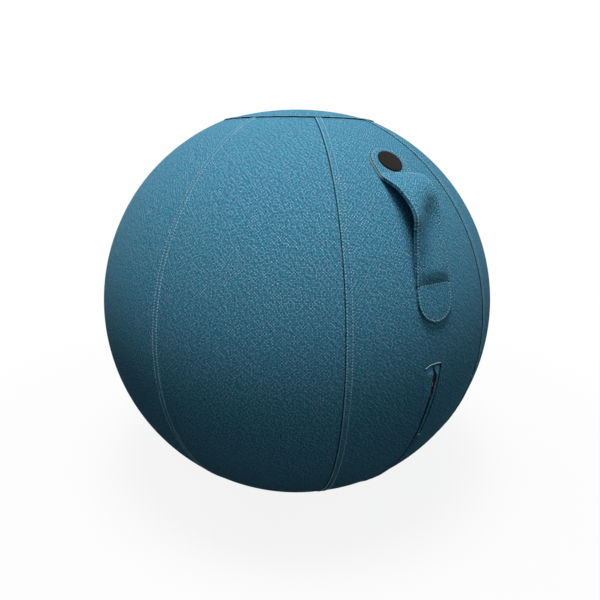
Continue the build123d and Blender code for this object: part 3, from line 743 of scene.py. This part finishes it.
STRAP_DEGREES = [
    5, 17, 17.7, 18.2, 19, 20.3, 21.5, 23.3, 26.3, 28.8, 30, 31.3,
    32.7, 34.5, 36.5, 37.7, 38.8, 40.5, 42, 43.3, 44.3, 45, 60,
]
LINE_START, LINE_STEP = -29, 14.5
SPREAD, EDGE_ZONE = 0.62, 0.2
STRAP_LINES = [
    [4.5, 4.5, 4.5, 5.0, 6.0, 7.6, 9.2, 12, 18, 24, 28.5, 31.2,
     31, 28.6, 25, 22.8, 20.5, 15, 10, 6.5, 4.8, 4.5, 4.5],
    [4.5, 4.5, 4.5, 5.3, 7.2, 9.6, 10.6, 12, 16, 20.5, 23, 25.5,
     27.5, 28, 26.5, 24.5, 22, 17, 12, 7.5, 4.8, 4.5, 4.5],
    [4.5, 4.5, 4.5, 5.4, 7.4, 9.8, 10.3, 10.4, 11, 12.5, 14, 16.5,
     19.5, 24, 25.8, 25.2, 23.5, 19, 14, 8.5, 4.8, 4.5, 4.5],
    [4.5, 4.5, 4.5, 5.2, 7.0, 8.8, 9.0, 8.5, 8.2, 8.8, 9.6, 11,
     13.4, 18.5, 24, 25, 24.5, 21, 16, 9.5, 4.8, 4.5, 4.5],
    [4.5, 4.5, 4.5, 4.9, 5.6, 6.6, 7.3, 8.3, 10.1, 11.2, 11.9, 13.5,
     16, 20, 23.5, 24.2, 24, 21.5, 17, 10.5, 4.9, 4.5, 4.5],
]


def strap_height(elevation, across):
    """Height of the strap's outer face: smooth curves down the five lines, joined across by a smooth curve."""
    lines = np.stack([smooth_curve(elevation, STRAP_DEGREES, line) for line in STRAP_LINES], -1)
    at = np.clip((across * 1000 - LINE_START) / LINE_STEP, 0, 4)
    i = np.clip(np.floor(at).astype(int), 0, 3)
    t = at - i
    pick = [np.take_along_axis(lines, np.clip(i + k, 0, 4)[..., None], -1)[..., 0] for k in (-1, 0, 1, 2)]
    pick[0] = np.where(i == 0, 2 * pick[1] - pick[2], pick[0])
    pick[3] = np.where(i == 3, 2 * pick[2] - pick[1], pick[3])
    a, b, c, d = pick
    curve = b + 0.5 * t * (c - a + t * (2 * a - 5 * b + 4 * c - d + t * (3 * (b - c) + d - a)))
    return curve / 1000


def strap_place(elevation, across, height):
    """Point of the strap: X is the distance across, on a ball of radius + height turned about the strap's middle."""
    far = BALL + height
    tilt = np.radians(elevation - STRAP_MIDDLE)
    swing = np.arcsin(np.clip(across / (far * np.cos(tilt)), -1, 1))
    m = math.radians(STRAP_MIDDLE)
    ahead = np.array([0.0, -math.cos(m), math.sin(m)])
    upward = np.array([0.0, math.sin(m), math.cos(m)])
    out = (np.cos(tilt) * np.cos(swing))[..., None] * ahead + np.sin(tilt)[..., None] * upward
    out = out + (np.cos(tilt) * np.sin(swing))[..., None] * np.array([1.0, 0.0, 0.0])
    return MIDDLE + out * far[..., None]


def strap_grid(wide):
    """Elevation and distance across of a ply's grid: straight sides, a half circle of radius wide at each end."""
    bend = np.radians(np.linspace(89.0, 0, 22))
    top = STRAP_TOP_END + np.degrees(wide * np.sin(bend) / BALL)
    bottom = STRAP_BOTTOM_END - np.degrees(wide * np.sin(bend[::-1]) / BALL)
    sides = np.linspace(STRAP_TOP_END, STRAP_BOTTOM_END, 130)[1:-1]
    seams = [STRAP_TOP_SEAM + k for k in (-0.18, 0, 0.18)]
    seams = seams + [STRAP_BOTTOM_SEAM + k for k in (-0.18, -0.06, 0, 0.06, 0.18)]
    sides = np.sort(np.concatenate([sides, seams]))[::-1]
    e = np.concatenate([top, sides, bottom])
    half = np.concatenate([np.cos(bend), np.ones(len(sides)), np.cos(bend[::-1])]) * wide
    t = np.sin(np.linspace(-1, 1, 31) * math.pi / 2 * SPREAD) / math.sin(math.pi / 2 * SPREAD)
    edge = np.array([0.0, 0.2, 0.5, 0.9, 1.4, 1.8, 2.2, 2.6, 3.0, 3.8, 5.0]) / (STRAP_HALF * 1000)
    t = t[np.abs(t) < 1 - EDGE_ZONE]
    t = np.concatenate([-1 + edge, t, (1 - edge)[::-1]])
    return np.broadcast_to(e[:, None], (len(e), len(t))), half[:, None] * t[None]


def strap_depth(e, x):
    """How far a point of the strap lies inside its outline, in mm, measured square to the nearest edge."""
    beyond = np.maximum(np.maximum(e - STRAP_TOP_END, STRAP_BOTTOM_END - e), 0) * math.pi / 180 * BALL
    return (STRAP_HALF - np.hypot(beyond, x)) * 1000


def strap_face(e, x):
    """Points and outward normals of the strap's outer face."""
    face = strap_place(e, x, strap_height(e, x))
    normal = grid_normals(face)
    return face, np.where(((face - MIDDLE) * normal).sum(-1, keepdims=True) < 0, -normal, normal)


def raw_edge(e, x):
    """1 where the strap's edge is left open and shows its padding: the left side beside the badge."""
    return (x < 0) * ease(e, 42.6, 44.0) * (1 - ease(e, 50.0, 51.5))


def make_strap():
    """Three plies one under another. Each is a slab between two depths under the strap's outer face, along its
    normal; the cloth plies close on each other round the padding, which is cut smaller."""
    e, x = strap_grid(STRAP_HALF)
    face, normal = strap_face(e, x)
    inside = strap_depth(e, x)
    at_top = (e - STRAP_TOP_SEAM) * MM_PER_DEGREE
    at_bottom = (e - STRAP_BOTTOM_SEAM) * MM_PER_DEGREE
    row = 0.35 * bump(inside, 2.2, 0.6) + 0.3 * bump(at_top, 0, 0.8) + 0.5 * bump(at_bottom, 0, 0.9)
    turned = 0.45 * rounded(inside, 0.5)
    lap = 0.95 * (1 - raw_edge(e, x)) * (1 - ease(inside, 0.5, 2.1))
    # Painted shade on the outer ply: along its sunk edge row and both sewn ends, strongest at the very edge.
    painted_shade = 0.4 * bump(inside, 2.2, 0.45) + 0.8 * bump(at_bottom, 0, 0.9) + 0.25 * bump(at_top, 0, 0.7)
    painted_shade = np.clip(painted_shade + 0.6 * np.clip(1 - inside / 0.5, 0, 1), 0, 1)
    core_e, core_x = strap_grid(STRAP_HALF - CORE_INSET)
    core_x = core_x - CORE_INSET * raw_edge(core_e, core_x) * np.abs(core_x) / (STRAP_HALF - CORE_INSET)
    core_face, core_normal = strap_face(core_e, core_x)
    flat = np.zeros_like(row)
    plies = [
        ("handle_outer", face, normal, row + turned, 1.1 + 0.4 * row + lap, e, x, painted_shade, cover_cloth, "cover_cloth"),
        ("handle_core", core_face, core_normal, flat + 1.55, flat + 3.1, core_e, core_x, flat, padding,
         "handle_padding"),
        ("handle_lining", face, normal, 3.2 - lap, 4.3 - 0.2 * turned, e, x, flat, cover_cloth, "cover_cloth"),
    ]
    for name, points, way, top, low, pe, px, dark, material, slot in plies:
        over = points - way * (top / 1000)[..., None]
        under = points - way * (low / 1000)[..., None]
        grain = np.stack([px + 3.0, np.radians(pe) * BALL], -1)
        piece = slab(name + "_ply", over, under, grain, dark, crease=60.0)
        dress(piece, material, slot, name)

    reach = STRAP_HALF - STRAP_INSET
    turn = np.radians(np.linspace(0, 180, 200))
    sides = np.linspace(STRAP_BOTTOM_END, STRAP_TOP_END, 600)
    top = STRAP_TOP_END + np.degrees(reach * np.sin(turn) / BALL)
    bottom = STRAP_BOTTOM_END - np.degrees(reach * np.sin(turn) / BALL)
    path_e = np.concatenate([sides, top, sides[::-1], bottom])
    path_x = np.concatenate([0 * sides - reach, -reach * np.cos(turn), 0 * sides + reach, reach * np.cos(turn)])
    sew_row("handle_edge_stitch", path_e, path_x, 71)
    cross = np.linspace(-reach + 0.002, reach - 0.002, 200)
    sew_row("handle_top_stitch", 0 * cross + STRAP_TOP_SEAM, cross, 72)
    sew_row("handle_bottom_stitch", 0 * cross + STRAP_BOTTOM_SEAM, cross, 73)


def sew_row(name, path_e, path_x, seed):
    """Stitches at an even pitch along a line drawn on the strap's outer face."""
    def spot(e, x, sink=0.0):
        return strap_place(e, x, strap_height(e, x) - sink)

    line = spot(path_e, path_x, ROW_SINK)
    run = np.concatenate([[0], np.cumsum(np.linalg.norm(np.diff(line, axis=0), axis=1))])
    count = int(run[-1] / STITCH_PITCH)
    at = (np.arange(count) + 0.5) * run[-1] / count
    e, x = np.interp(at, run, path_e), np.interp(at, run, path_x)
    here = spot(e, x, ROW_SINK)
    after, before = (np.stack([np.interp(at + d, run, line[:, k]) for k in range(3)], -1) for d in (0.0004, -0.0004))
    ahead = after - before
    up = np.cross(spot(e, x + 0.0005) - spot(e, x - 0.0005), spot(e + 0.05, x) - spot(e - 0.05, x))
    sew(name, here, ahead, up, seed)


# Zip: welts, tapes and the stitches at the window's end

TACK_DEGREES = -21.5
GAP_DEGREES = [-69, -66, -61, -56, -50, -40, -28, -18, -11, -8.5, -6.5, -5, -3.5, -2.2, -1]
GAP_LEFT = [2.1, 2.1, 2.1, 1.7, 1.2, 1.1, 1.2, 1.4, 1.8, 1.9, 1.9, 1.8, 1.4, 0.9, 0.5]
GAP_RIGHT = [2.1, 2.1, 2.1, 1.8, 1.6, 1.6, 1.7, 1.8, 2.2, 2.8, 3.6, 4.8, 4.8, 2.8, 0.7]


def welt_lines(e, sign):
    """A welt at an elevation: its fold's centre across, its height, the seat of its outer edge, that edge's place
    across, and how far it dives under the window's top."""
    gap = smooth_curve(e, GAP_DEGREES, GAP_RIGHT if sign > 0 else GAP_LEFT) / 1000
    dive = 1 - ease(WINDOW_TOP - e, 0.0, 2.2)
    height = 0.0015 + 0.0004 * bump(e, -7.5, 4.0) - 0.0008 * ease(-e, 9.0, 14.0) * (1 - ease(-e, 50.0, 56.0))
    height = height + 0.00018 * ripple(np.radians(e) * BALL, 91, 0.02, 0.09)
    seat = (-0.0003 if sign > 0 else -0.0001) - 0.0006 * dive
    return gap + WELT_FOLD, height * (1 - dive) - 0.0017 * dive, seat, window_half(e) - WELT_SPACE, dive


def front_place(e, across, far):
    """Point on the front: across is X, far the distance from the ball's X axis line through its middle."""
    a = np.radians(e)
    return MIDDLE + np.stack([across, -far * np.cos(a), far * np.sin(a)], -1)


def welt_under(height, seat, flat):
    """Height of a welt's underside at a share of the way from its outer edge to its fold."""
    return seat - WELT_THICK + (height - WELT_FOLD - seat + WELT_THICK) * flat


def welt_grid(e, share, sign):
    """Place across, top, underside and painted shade of a welt from share 0, its outer edge, to 1, its fold: a strip
    ending in a half circle."""
    fold, height, seat, outer, dive = welt_lines(e, sign)
    flat = np.clip(share / FOLD_START, 0, 1)
    bend = np.clip((share - FOLD_START) / (1 - FOLD_START), 0, 1) * math.pi / 2
    x = outer + (fold - outer) * flat - WELT_FOLD * np.sin(bend)
    crest = height + WELT_FOLD
    crown = 0.0003 if sign > 0 else 0.0001
    top = seat + (crest - seat) * flat + crown * (1 - dive) * 4 * flat * (1 - flat)
    low = welt_under(height, seat, flat)
    over = np.where(share > FOLD_START, height + WELT_FOLD * np.cos(bend), top)
    under = np.where(share > FOLD_START, height - WELT_FOLD * np.cos(bend), low)
    far = outer - x
    lip = WELT_LIP * rounded(far, 0.0012)
    plain = 1.0 if sign > 0 else LEFT_SHARE
    # Painted shade in the groove at the outer edge, faint on the left welt, and on the fold's inner side in the gap.
    shade = np.clip(1.6 - far / 0.0012, 0, 1) * plain + np.clip((share - 0.88) / 0.08, 0, 1)
    return x, over - lip * plain, under, np.clip(shade, 0, 1)


def zip_rows():
    """Elevations of the grids of the welts and tapes, closer together near the top."""
    start = WINDOW_TOP - math.degrees(WELT_SPACE / BALL)
    limit = -CAP_SEAM + math.degrees(WELT_SPACE / BALL)
    return np.concatenate([np.linspace(start, -8, 60), np.linspace(-8, limit, 150)[1:]])[:, None]


def make_welts(rows):
    """The two folded strips beside the zip, as grids of (elevation, share across)."""
    edge, bend = np.array([0, 0.004, 0.012, 0.025, 0.05]), np.linspace(FOLD_START, 1, 11)[1:]
    share = np.concatenate([edge, np.linspace(0.1, FOLD_START, 14), bend])[None]
    e = np.broadcast_to(rows, (len(rows), share.shape[1]))
    s = np.broadcast_to(share, e.shape)
    for name, sign in (("zip_welt_right", 1), ("zip_welt_left", -1)):
        x, over, under, shade = welt_grid(e, s, sign)
        grain = np.stack([sign * x + 5.0, np.radians(e) * BALL], -1)
        top = front_place(e, sign * x, BALL + over)
        low = front_place(e, sign * x, BALL + under)
        piece = slab(name + "_cloth", top, low, grain, shade, crease=70.0)
        dress(piece, cover_cloth, "cover_cloth", name)


def make_tapes(rows):
    """The zip's two tapes: level beside the teeth, then bent up against the underside of the welts."""
    x = TAPE_START + np.linspace(0, 1, 26)[None] * TAPE_WIDTH + 0 * rows
    e = np.broadcast_to(rows, x.shape)
    for name, sign in (("zip_tape_right", 1), ("zip_tape_left", -1)):
        fold, height, seat, outer, _ = welt_lines(e, sign)
        flat = np.clip((outer - x) / (outer - fold), 0, 1)
        below = welt_under(height, seat, flat) - TAPE_SPACE
        level = np.full(x.shape, TAPE_RADIUS - BALL)
        mixed = level + (below - level) * ease(x, *TAPE_BEND)
        top = np.where(x > TAPE_BEND[1], below, np.minimum(mixed, below))
        grain = np.stack([sign * x, np.radians(e) * BALL], -1)
        over = front_place(e, sign * x, BALL + top)
        under = front_place(e, sign * x, BALL + top - TAPE_THICK)
        piece = slab(name + "_ribbon", over, under, grain, crease=60.0)
        dress(piece, ribbon, "zip_tape", name)


def front_row(up, across):
    """Points just above the ball's front."""
    return front_place(up, across, np.sqrt((BALL + SEW_HEIGHT) ** 2 - across ** 2))


def sew_window():
    """The curved row over the window's top end, and a small bar tack on its right edge."""
    across = np.linspace(-0.0135, 0.0125, 13)
    drop = 0.0035 * np.clip((-across - 0.002) / 0.0115, 0, 1) ** 2
    drop = drop + 0.0012 * np.clip((across - 0.006) / 0.0065, 0, 1) ** 2
    here = front_row(WINDOW_TOP + np.degrees((0.0030 - drop) / BALL), across)
    ahead = np.gradient(here, axis=0)
    sew("zip_end_stitch", here, ahead, here - MIDDLE, 81, length=0.0024)
    across = window_half(TACK_DEGREES) + np.array([0.0010, 0.0012, 0.0008, 0.0011])
    here = front_row(TACK_DEGREES - np.degrees(np.arange(4) * 0.0008 / BALL), across)
    ahead = np.broadcast_to(np.array([1.0, 0.0, 0.0]), here.shape)
    sew("zip_bar_tack", here, ahead, here - MIDDLE, 82, length=0.0030)


for number, name in enumerate(PANELS):
    make_panel(number, name)
make_cap("top_cap", 1)
make_cap("bottom_cap", -1)
make_strap()
make_welts(zip_rows())
make_tapes(zip_rows())
sew_window()

# Solids that stay as they are, with their finishes
FINISHES = {
    "bladder": ball_vinyl,
    "valve_seat": valve_white,
    "valve_plug": valve_white,
    "badge_disc": badge_black,
    "badge_washer": washer_black,
    "zip_teeth_left": tooth_black,
    "zip_teeth_right": tooth_black,
    "zip_top_stops": glint_bright_bronze,
    "zip_bottom_stop": glint_bright_bronze,
    "zip_slider": shade_dark_bronze,
    "zip_pull": shade_dark_bronze,
}
for node, material in FINISHES.items():
    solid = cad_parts[node]
    if not solid.data.materials:
        solid.data.materials.append(material)
    for place in solid.material_slots:
        place.material = material

# Floor, light and camera

FLOOR_HALF, FLOOR_LEVEL = 30.0, -0.0004
SHADOW_NEAR, SHADOW_FAR, SHADOW_WHITE = 0.25, 1.1, 0.88
WHITE, BLACK = (1.0, 1.0, 1.0, 1.0), (0.0, 0.0, 0.0, 1.0)
SEEN_FLOOR, UNSEEN_FLOOR = (0.95, 0.95, 0.95, 1.0), (0.05, 0.05, 0.05, 1.0)
AMBIENT = 0.06
LAMP_TARGET = (0.0, 0.0, 0.3)
COOL = (0.80, 0.98, 1.0)
LAMPS = [
    ("top_box", (-0.33, -0.42, 2.38), 0.8, 40.5, (1.0, 0.96, 0.95)),
    ("front_fill", (-0.79, -1.70, 1.30), 0.9, 4.9, COOL),
    ("right_edge", (2.08, -0.10, 0.50), 1.0, 7.0, COOL),
    ("back_edge", (-0.60, 2.00, 1.20), 1.0, 9.0, (1.0, 1.0, 1.0)),
]
PHOTO_PIXELS, FOCAL_PIXELS, SENSOR = 600, 492.21, 36.0
CAMERA_BACK = (-0.4614, -0.7168, 0.2540)
CAMERA_ROLL = 0.61
SHIFT_PIXELS = (3.0, -0.7)


def seen_rays(m):
    """1 for rays that come from the camera, a reflection or through glass, else 0."""
    path = m.add("ShaderNodeLightPath")
    sight = m.sum("MAXIMUM", path.outputs["Is Camera Ray"], path.outputs["Is Glossy Ray"])
    return m.sum("MAXIMUM", sight, path.outputs["Is Transmission Ray"])


def make_floor():
    """A wide floor, white in sight and dark in the light that it gives back. It keeps the ball's shadow near the ball
    and goes over to plain white farther off."""
    corner = np.array([[-1, -1], [1, -1], [1, 1], [-1, 1]]) * FLOOR_HALF
    points = np.concatenate([corner, np.full((4, 1), FLOOR_LEVEL)], 1)
    floor = lay_mesh("floor", points, [np.array([[0, 1, 2, 3]])])
    m = Recipe("pale_floor", (0.95, 0.95, 0.95), 1.0, **{"Specular IOR Level": 0.0})
    sight = seen_rays(m)
    away = m.add("ShaderNodeVectorMath", {0: m.place()}, operation="LENGTH").outputs["Value"]
    values = {"Value": away, 1: SHADOW_NEAR, 2: SHADOW_FAR, 3: SHADOW_WHITE, 4: 1.0}
    white = m.add("ShaderNodeMapRange", values, interpolation_type="SMOOTHSTEP").outputs[0]
    shaded = m.tint(white, SEEN_FLOOR, BLACK)
    m.put(m.shader, {"Base Color": m.tint(sight, UNSEEN_FLOOR, shaded)})
    m.put(m.shader, {"Emission Color": WHITE, "Emission Strength": m.sum("MULTIPLY", sight, white)})
    floor.data.materials.append(m.material)


def make_world():
    """White in sight, a dim even grey in the light that it gives."""
    world = bpy.data.worlds.new("studio")
    bpy.context.scene.world = world
    world.use_nodes = True
    m = Layout(world.node_tree)
    level = m.sum("MULTIPLY_ADD", seen_rays(m), 1 - AMBIENT, AMBIENT)
    m.put(m.tree.nodes["Background"], {"Color": WHITE, "Strength": level})


def facing(place, right, up, back):
    """Matrix of a lamp or camera from its place and its three axes."""
    turn = np.eye(4)
    turn[:3, 0], turn[:3, 1], turn[:3, 2], turn[:3, 3] = right, up, back, place
    return Matrix(turn.tolist())


def make_lamp(name, place, size, power, colour):
    """A square soft box that looks from a place to the ball."""
    lamp = bpy.data.lights.new(name, "AREA")
    lamp.shape = "SQUARE"
    lamp.size = size
    lamp.energy = power
    lamp.color = colour
    made = bpy.data.objects.new(name, lamp)
    back = unit(np.array(place, float) - np.array(LAMP_TARGET, float))
    right = unit(np.cross([0.0, 1.0, 0.0], back))
    made.matrix_world = facing(place, right, np.cross(back, right), back)
    bpy.context.scene.collection.objects.link(made)


def make_camera():
    """Camera from the photograph's place, looking at the ball's middle, with the photograph's small roll."""
    lens = bpy.data.cameras.new("camera")
    lens.sensor_width = SENSOR
    lens.lens = FOCAL_PIXELS / PHOTO_PIXELS * SENSOR
    lens.shift_x, lens.shift_y = (shift / PHOTO_PIXELS for shift in SHIFT_PIXELS)
    lens.clip_start, lens.clip_end = 0.01, 100.0
    place = MIDDLE + np.array(CAMERA_BACK)
    back = unit(np.array(CAMERA_BACK))
    right = unit(np.cross([0.0, 0.0, 1.0], back))
    up = np.cross(back, right)
    roll = math.radians(CAMERA_ROLL)
    right, up = math.cos(roll) * right + math.sin(roll) * up, math.cos(roll) * up - math.sin(roll) * right
    made = bpy.data.objects.new("camera", lens)
    made.matrix_world = facing(place, right, up, back)
    bpy.context.scene.collection.objects.link(made)
    bpy.context.scene.camera = made


make_floor()
make_world()
for lamp in LAMPS:
    make_lamp(*lamp)
make_camera()
bpy.context.scene.view_settings.view_transform = "Standard"
